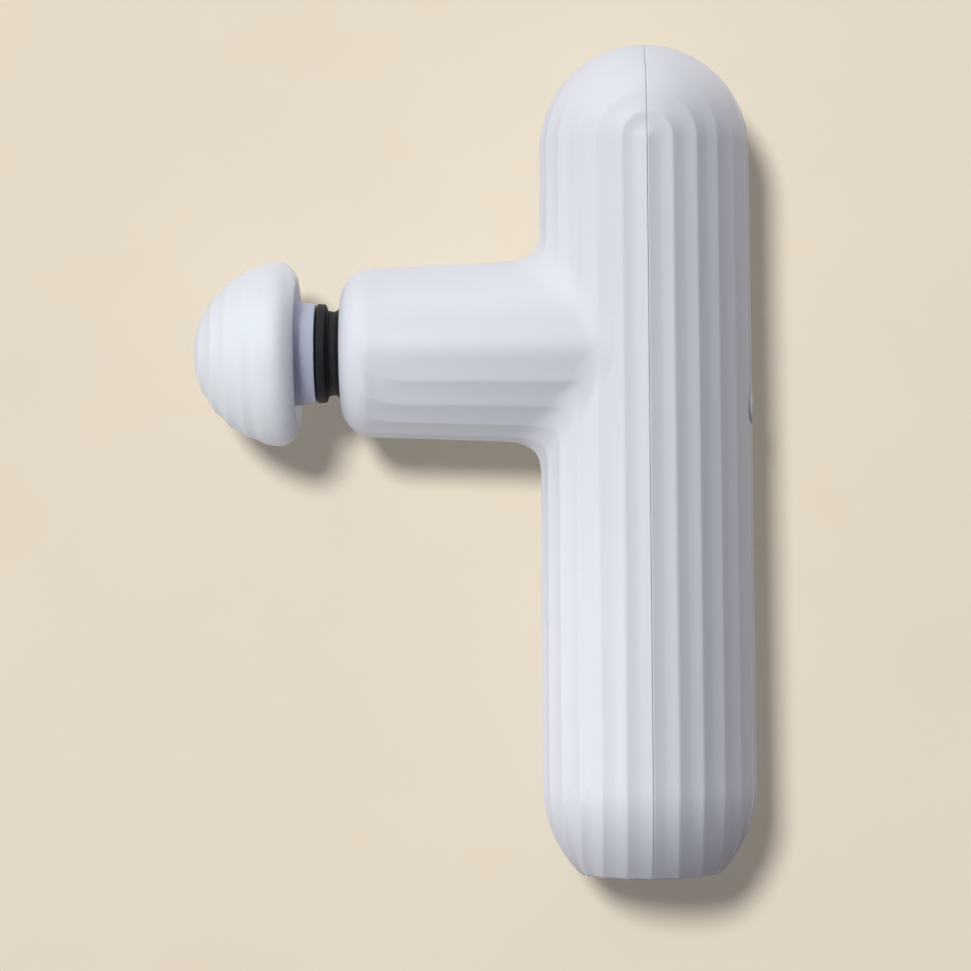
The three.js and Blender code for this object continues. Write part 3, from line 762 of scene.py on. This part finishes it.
def make_shell(name, lo, hi):
    ob = bpy.data.objects.new(name, whole.data.copy())
    bpy.context.scene.collection.objects.link(ob)
    boolean(ob, box("half", lo, hi, -40, 40, -5, 160), "INTERSECT")
    boolean(ob, cavity, "DIFFERENCE", drop=False)
    return ob


front = make_shell("front_casing", -80, -SEAM)
rear = make_shell("rear_casing", SEAM, 40)
boolean(
    rear,
    lathe("hole", [(0, 13), (4.15, 13), (4.15, 17.9), (4.15, 25), (0, 25)], 72, axis="x", z=BUTTON_Z),
)
boolean(rear, lathe("hole2", [(0, 13), (1.25, 13), (1.25, 25), (0, 25)], 40, axis="x", z=LENS_Z))
for ob in (cavity, whole):
    m_ = ob.data
    bpy.data.objects.remove(ob)
    bpy.data.meshes.remove(m_)
shell_normals(front)
shell_normals(rear)
for ob, n in ((front, "front_shell"), (rear, "rear_shell")):
    wear(ob, "body_plastic")
    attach(ob, "housing")
    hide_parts(n)

# ------------------------------------------------------------- the bottom cap
cap = lathe(
    "foot_cap",
    rounded(
        [(0, 0), (11.7, 0, 0.35), (11.7, 1.0, 0.1), (10.1, 1.0, 0), (10.1, 2.7, 0.2), (0, 2.7)],
        0.1,
    ),
    128,
)
boolean(cap, pill_prism("usb_hole", 4.85, 1.95, -1, 4, USB_X))
for y in (-SCREW_Y, SCREW_Y):
    boolean(
        cap,
        lathe("csk", [(0, -1), (2.0, -1), (2.0, 1.25), (1.2, 1.25), (1.2, 4), (0, 4)], 40, y=y),
    )
shade(cap)
wear(cap, "body_plastic")
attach(cap, "housing")
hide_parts("bottom_cap")


def screw(name, replaced, x, y, z, head_r, head_t, shank_r, length, turn=0.4, axis="z"):
    """A pan head with a cross recess and a threaded shank, head facing down."""
    prof = rounded(
        [(0, 0), (head_r, 0.05, 0.35), (head_r, head_t, 0.05), (shank_r, head_t, 0.05)], 0.1
    )
    top = length - 0.6
    pitch = 0.5
    z_ = head_t + 0.2
    while z_ + pitch < top:
        prof += [(shank_r, z_), (shank_r - 0.16, z_ + pitch / 2)]
        z_ += pitch
    prof += [(shank_r, top), (shank_r * 0.4, length), (0, length)]
    ob = lathe(name, prof, 32)
    for t in (0, math.pi / 2):
        c = box("slot", -head_r * 0.62, head_r * 0.62, -0.22, 0.22, -1, head_t * 0.6)
        c.data.transform(Matrix.Rotation(turn + t, 4, "Z"))
        boolean(ob, c)
    if axis == "-x":
        ob.data.transform(Matrix.Rotation(-math.pi / 2, 4, "Y"))
    ob.data.transform(Matrix.Translation((x * MM, y * MM, z * MM)))
    shade(ob, 40)
    wear(ob, "steel")
    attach(ob, "housing")
    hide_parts(replaced)
    return ob


screw("cap_screw_near", "bottom_cap_screw_1", 0, -SCREW_Y, 0.35, 1.8, 0.8, 1.0, 7.2, 0.4)
screw("cap_screw_far", "bottom_cap_screw_2", 0, SCREW_Y, 0.35, 1.8, 0.8, 1.0, 7.2, 1.1)

socket = pill_prism("socket_shell", 4.6, 1.7, 0.5, 8.4, USB_X)
boolean(socket, pill_prism("socket_mouth", 4.32, 1.42, 0.0, 7.2, USB_X))
boolean(socket, box("tongue", USB_X - 0.35, USB_X + 0.35, -3.3, 3.3, 1.3, 7.6), "UNION")
shade(socket)
wear(socket, "steel")
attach(socket, "housing")
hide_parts("usb_socket")

# ---------------------------------------------------------- button and light
button = lathe(
    "power_button",
    rounded(
        [
            (0, 14.9),
            (4.9, 14.9, 0.1),
            (4.9, 15.6, 0.1),
            (4.0, 15.6, 0),
            (4.0, 19.02, 0.3),
            (3.1, 19.16, 0.4),
            (2.0, 18.96, 1.2),
            (0, 18.9),
        ],
        0.2,
        5,
    ),
    96,
    axis="x",
    z=BUTTON_Z,
)
shade(button, 40)
wear(button, "body_plastic")
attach(button, "button")
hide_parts("button_cap")

lens = lathe(
    "status_lens",
    rounded(
        [(0, 14.4), (1.6, 14.4, 0.1), (1.6, 15.2, 0.1), (1.12, 15.2, 0), (1.12, 18.85, 0.3), (0, 18.95)],
        0.1,
        4,
    ),
    48,
    axis="x",
    z=LENS_Z,
)
shade(lens, 40)
wear(lens, "lens")
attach(lens, "housing")
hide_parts("indicator_lens")

# ------------------------------------------------------------ collar and boot
collar = lathe(
    "shaft_flange",
    rounded(
        [(6.5, 57.2), (7.7, 57.2, 0.1), (7.85, 57.5, 0.15), (8.92, 57.85, 0.25), (9.05, 59.4, 0.3), (6.5, 59.4)],
        0.1,
        5,
        True,
    ),
    128,
    closed=True,
    axis="n",
)
shade(collar, 50)
wear(collar, "black_rubber")
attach(collar, "piston")
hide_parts("shaft_collar")

boot_profile = [
    (6.5, 51.2),
    (8.55, 51.2),
    (8.55, 53.6),
    (8.5, 54.7),
    (8.42, 55.25),
    (8.1, 55.55),
    (7.8, 55.85),
    (7.63, 56.2),
    (7.6, 56.55),
    (7.66, 56.9),
    (7.75, 57.12),
    (6.5, 57.12),
]
# more rows where the rubber stretches
fine = []
for a, b in zip(boot_profile, boot_profile[1:]):
    n_ = max(1, int(math.hypot(b[0] - a[0], b[1] - a[1]) / 0.3))
    fine += [(a[0] + (b[0] - a[0]) * i / n_, a[1] + (b[1] - a[1]) * i / n_) for i in range(n_)]
fine.append(boot_profile[-1])
n_ = 12
fine += [(6.5, 57.12 + (51.2 - 57.12) * i / n_) for i in range(1, n_)]
boot = lathe("rubber_boot", fine, 96, closed=True, axis="n")
shade(boot, 50)
wear(boot, "black_rubber")
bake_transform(boot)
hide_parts("dust_boot")

# ------------------------------------------------------------------- the head
core = lathe(
    "head_hub",
    rounded(
        [
            (0, 47),
            (4.6, 47, 0.8),
            (4.6, 50.3, 0.1),
            (3.6, 50.3, 0.1),
            (3.6, 51.7, 0.1),
            (4.6, 51.7, 0.1),
            (4.6, 54.3, 0.1),
            (3.6, 54.3, 0.1),
            (3.6, 55.7, 0.1),
            (4.6, 55.7, 0.1),
            (4.6, 59.7, 0.2),
            (9.05, 59.7, 0.25),
            (9.5, 63.95, 0.1),
            (7.0, 63.95, 0),
            (7.0, 72, 0.5),
            (0, 72),
        ],
        0.1,
        3,
    ),
    128,
    axis="n",
)
shade(core, 40)
wear(core, "hub_plastic")
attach(core, "head")
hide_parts("head_core")

for i, s in enumerate((51, 55)):
    prof = [
        (4.33 + 0.45 * math.cos(2 * math.pi * k / 16), s + 0.45 * math.sin(2 * math.pi * k / 16))
        for k in range(16)
    ]
    ring = lathe(f"stem_ring_{i + 1}", prof, 72, closed=True, axis="n")
    shade(ring, 60)
    wear(ring, "black_rubber")
    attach(ring, "head")
    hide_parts(f"stem_oring_{i + 1}")

# The dome: its plain outline, then concentric concave rings between ridges.
outline = np.array(
    [
        (0.0, 81.72),
        (1.6, 81.66),
        (3.4, 81.42),
        (5.0, 81.02),
        (6.6, 80.38),
        (8.4, 79.38),
        (10.0, 78.25),
        (11.4, 77.0),
        (12.7, 75.6),
        (13.85, 74.0),
        (14.85, 72.2),
        (15.7, 70.3),
        (16.2, 68.6),
        (16.45, 67.1),
        (16.4, 65.9),
        (16.05, 64.9),
        (15.35, 64.0),
        (14.55, 63.4),
        (13.9, 63.1),
        (13.2, 63.05),
    ]
)


def smooth_curve(points, count):
    """Evenly spaced points on a Catmull-Rom curve through the given points."""
    p = np.vstack([2 * points[0] - points[1], points, 2 * points[-1] - points[-2]])
    out = []
    for i in range(1, len(p) - 2):
        for t in np.linspace(0, 1, 24, endpoint=False):
            a, b, c, d = p[i - 1], p[i], p[i + 1], p[i + 2]
            out.append(
                0.5
                * (
                    2 * b
                    + (c - a) * t
                    + (2 * a - 5 * b + 4 * c - d) * t * t
                    + (3 * b - a - 3 * c + d) * t**3
                )
            )
    out.append(p[-2])
    out = np.array(out)
    length = np.concatenate([[0], np.cumsum(np.linalg.norm(np.diff(out, axis=0), axis=1))])
    s = np.linspace(0, length[-1], count)
    return (
        np.stack([np.interp(s, length, out[:, 0]), np.interp(s, length, out[:, 1])], 1),
        s,
    )


curve, arc = smooth_curve(outline, 190)
tangent = np.gradient(curve, axis=0)
tangent /= np.linalg.norm(tangent, axis=1)[:, None]
normal = np.stack([-tangent[:, 1], tangent[:, 0]], 1)  # outward: +h at the tip
if normal[2, 1] < 0:
    normal = -normal
ridge_radius = [2.6, 6.6, 10.3, 12.95, 14.85, 16.1]
before_rim = curve[:, 1] > 66.5
ridge_arc = [
    float(np.interp(r, curve[before_rim, 0], arc[before_rim])) for r in ridge_radius
]
phase = np.interp(arc, [0.0] + ridge_arc, np.arange(0, len(ridge_arc) + 1.0))
depth = 0.23 * smoothstep(ridge_arc[0] * 0.5, ridge_arc[1], arc)
depth = depth * (1 - smoothstep(ridge_arc[-1] - 0.2, ridge_arc[-1] + 0.2, arc))
u = np.abs(phase - np.round(phase))
u = np.sqrt(u * u + 0.06**2) - 0.06
fuller = 0.24 * (1 - smoothstep(arc[-1] - 5.0, arc[-1] - 1.0, arc))
dome_profile = curve + normal * (fuller - depth * 4 * u * (1 - u))[:, None]
dome_profile[0, 0] = 0.0
prof = [tuple(p) for p in dome_profile.tolist()]
prof += rounded(
    [(13.2, 63.05), (12.5, 63.4, 0.8), (10.2, 64.4, 0.6), (7.3, 64.4, 0.1), (7.3, 72.3, 0), (0, 72.3)],
    0.1,
    5,
)[1:]
dome = lathe("head_cushion", prof, 160, axis="n")
shade(dome, 40)
wear(dome, "head_soft")
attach(dome, "head")
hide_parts("head_dome")

# ---------------------------------------------------------- stage and lights
bpy.context.scene.world = bpy.data.worlds.new("studio")
world = bpy.context.scene.world
world.use_nodes = True
bg = world.node_tree.nodes["Background"]
bg.inputs[0].default_value = (0.66, 0.66, 1.0, 1)
# the room is brighter above and to the left than below and to the right
wn = world.node_tree
sky = wn.nodes.new("ShaderNodeTexCoord")
along = wn.nodes.new("ShaderNodeVectorMath")
along.operation = "DOT_PRODUCT"
along.inputs[1].default_value = (-0.75, 0.0, 0.66)
wn.links.new(sky.outputs["Generated"], along.inputs[0])
amount = wn.nodes.new("ShaderNodeMapRange")
amount.inputs["From Min"].default_value = -1.0
amount.inputs["From Max"].default_value = 1.0
amount.inputs["To Min"].default_value = 0.085
amount.inputs["To Max"].default_value = 0.21
wn.links.new(along.outputs["Value"], amount.inputs["Value"])
wn.links.new(amount.outputs["Result"], bg.inputs[1])
# behind the paper's far side the camera sees a plain pale tone, not the dim room
plain = wn.nodes.new("ShaderNodeBackground")
plain.inputs[0].default_value = (0.72, 0.655, 0.53, 1)
seen = wn.nodes.new("ShaderNodeLightPath")
either = wn.nodes.new("ShaderNodeMixShader")
wn.links.new(seen.outputs["Is Camera Ray"], either.inputs[0])
wn.links.new(bg.outputs[0], either.inputs[1])
wn.links.new(plain.outputs[0], either.inputs[2])
wn.links.new(either.outputs[0], wn.nodes["World Output"].inputs[0])

GROUND = np.array((0.424, 0.378, 0.306))  # diffuse share of the paper's colour
GLOW = np.array((0.178, 0.163, 0.130))  # even share of it


def backdrop():
    """Paper behind the object: faint clouds of warmer and cooler tone. It is
    clear from behind, and to shadows, so that the far side can be lit."""
    size = 3.0
    y = 0.0194
    mesh = bpy.data.meshes.new("backdrop")
    mesh.from_pydata(
        [(-size, y, -size), (size, y, -size), (size, y, size), (-size, y, size)],
        [],
        [(0, 1, 2, 3)],
    )
    ob = bpy.data.objects.new("backdrop", mesh)
    bpy.context.scene.collection.objects.link(ob)
    m, nt, b = material("backdrop_paper")
    vec = coords(nt)
    broad = noise(nt, vec, 22.0, 3.0, 0.55)
    tone = noise(nt, coords(nt, (1, 1, 1.4)), 31.0, 2.0, 0.5)

    def clouds(colour):
        lo = mix_colour(
            nt, spread(nt, tone, 0, 1), tuple(colour * (0.985, 0.985, 1.0)), tuple(colour * (1.0, 0.98, 0.965))
        )
        hi = mix_colour(
            nt, spread(nt, tone, 0, 1), tuple(colour * (1.015, 1.015, 1.02)), tuple(colour * (1.02, 1.005, 0.99))
        )
        n = node(nt, "ShaderNodeMix", data_type="RGBA")
        nt.links.new(spread(nt, broad, 0, 1), n.inputs[0])
        nt.links.new(lo, n.inputs[6])
        nt.links.new(hi, n.inputs[7])
        return n.outputs[2]

    nt.links.new(clouds(GROUND), b.inputs["Base Color"])
    nt.links.new(clouds(GLOW), b.inputs["Emission Color"])
    b.inputs["Emission Strength"].default_value = 1.0
    b.inputs["Roughness"].default_value = 0.9
    b.inputs["Specular IOR Level"].default_value = 0.0
    fine_ = noise(nt, vec, 1200.0, 2.0)
    bump(nt, b, fine_, 0.00003, 0.3)
    geo = node(nt, "ShaderNodeNewGeometry")
    lp = node(nt, "ShaderNodeLightPath")
    # what it throws back onto the object is weaker and cooler than what is seen
    half = node(nt, "ShaderNodeMath", operation="MULTIPLY")
    nt.links.new(lp.outputs["Is Diffuse Ray"], half.inputs[0])
    half.inputs[1].default_value = 0.72
    cool = node(nt, "ShaderNodeEmission")
    cool.inputs[0].default_value = (0.07, 0.06, 0.15, 1)
    thrown = node(nt, "ShaderNodeMixShader")
    nt.links.new(half.outputs[0], thrown.inputs[0])
    nt.links.new(b.outputs[0], thrown.inputs[1])
    nt.links.new(cool.outputs[0], thrown.inputs[2])
    mx = node(nt, "ShaderNodeMath", operation="MAXIMUM")
    nt.links.new(geo.outputs["Backfacing"], mx.inputs[0])
    nt.links.new(lp.outputs["Is Shadow Ray"], mx.inputs[1])
    tr = node(nt, "ShaderNodeBsdfTransparent")
    mix = node(nt, "ShaderNodeMixShader")
    out = [n for n in nt.nodes if n.type == "OUTPUT_MATERIAL"][0]
    nt.links.new(mx.outputs[0], mix.inputs[0])
    nt.links.new(thrown.outputs[0], mix.inputs[1])
    nt.links.new(tr.outputs[0], mix.inputs[2])
    nt.links.new(mix.outputs[0], out.inputs[0])
    mesh.materials.append(m)
    return ob


paper = backdrop()
only_paper = bpy.data.collections.new("only_paper")
only_paper.objects.link(paper)
all_but_paper = bpy.data.collections.new("all_but_paper")
all_but_paper.objects.link(paper)
all_but_paper.collection_objects[0].light_linking.link_state = "EXCLUDE"


def area(name, location, target, size, power, colour=(1, 1, 1), lights=all_but_paper):
    data = bpy.data.lights.new(name, "AREA")
    data.shape = "DISK"
    data.size = size
    data.energy = power
    data.color = colour
    ob = bpy.data.objects.new(name, data)
    bpy.context.scene.collection.objects.link(ob)
    ob.location = location
    direction = Vector(target) - Vector(location)
    ob.rotation_euler = direction.to_track_quat("-Z", "Y").to_euler()
    ob.light_linking.receiver_collection = lights
    return ob


def far(name, direction, distance, size, power, lights=all_but_paper):
    """A round light seen from the object in a given direction."""
    centre = Vector((-0.03, 0, 0.08))
    at = centre + Vector(direction).normalized() * distance
    return area(name, at, centre, size, power, lights=lights)


KEY = (-0.255, -1, 0.31)
far("key", KEY, 2.0, 0.42, 16.3)
far("key_on_paper", KEY, 3.0, 0.63, 126.0, only_paper)
far("left", (-1, -0.45, 0.25), 2.0, 1.2, 3.3)
far("left_low", (-1, -0.12, 0.05), 2.0, 1.2, 4.4)
far("top", (-0.2, -0.4, 1), 2.0, 1.2, 10.4)
far("upper_left", (-0.8, -0.7, 0.9), 2.0, 1.0, 6.4)
far("upper_right", (0.6, -0.6, 1.1), 2.0, 1.0, 4.6)
far("back_left", (-0.8, 1, 0.3), 2.0, 1.2, 5.0)
far("back_right", (0.8, 1, 0.7), 2.0, 1.2, 9.5)
area("head_fill", (-0.102, -0.075, 0.012), (-0.060, 0, 0.09), 0.06, 0.044)

# --------------------------------------------------------------------- camera
FOCAL_PX = 3200.0
PITCH = math.radians(-1.0)
YAW = math.radians(-0.8)
ROLL = math.radians(-0.50)
SCALE = 0.1814  # millimetres to a pixel at the handle's axis
AIM = (-29.22, 70.38)

cam_data = bpy.data.cameras.new("camera")
cam_data.sensor_width = 36.0
cam_data.lens = FOCAL_PX / 971.0 * 36.0
cam_data.clip_start = 0.01
cam = bpy.data.objects.new("camera", cam_data)
bpy.context.scene.collection.objects.link(cam)
distance = FOCAL_PX * SCALE * MM
Rz = np.array([[math.cos(YAW), -math.sin(YAW), 0], [math.sin(YAW), math.cos(YAW), 0], [0, 0, 1]])
Rx = np.array([[1, 0, 0], [0, math.cos(PITCH), -math.sin(PITCH)], [0, math.sin(PITCH), math.cos(PITCH)]])
Ry = np.array([[math.cos(ROLL), 0, math.sin(ROLL)], [0, 1, 0], [-math.sin(ROLL), 0, math.cos(ROLL)]])
R = Ry @ Rx @ Rz  # part to view axes (x right, y away, z up)
aim = np.array([AIM[0], 0.0, AIM[1]]) * MM
eye = aim - R.T @ np.array([0, distance, 0])
right, away, up = R.T @ np.array([1, 0, 0]), R.T @ np.array([0, 1, 0]), R.T @ np.array([0, 0, 1])
M = Matrix(
    (
        (right[0], up[0], -away[0], eye[0]),
        (right[1], up[1], -away[1], eye[1]),
        (right[2], up[2], -away[2], eye[2]),
        (0, 0, 0, 1),
    )
)
cam.matrix_world = M
bpy.context.scene.camera = cam
bpy.context.scene.view_settings.view_transform = "Standard"
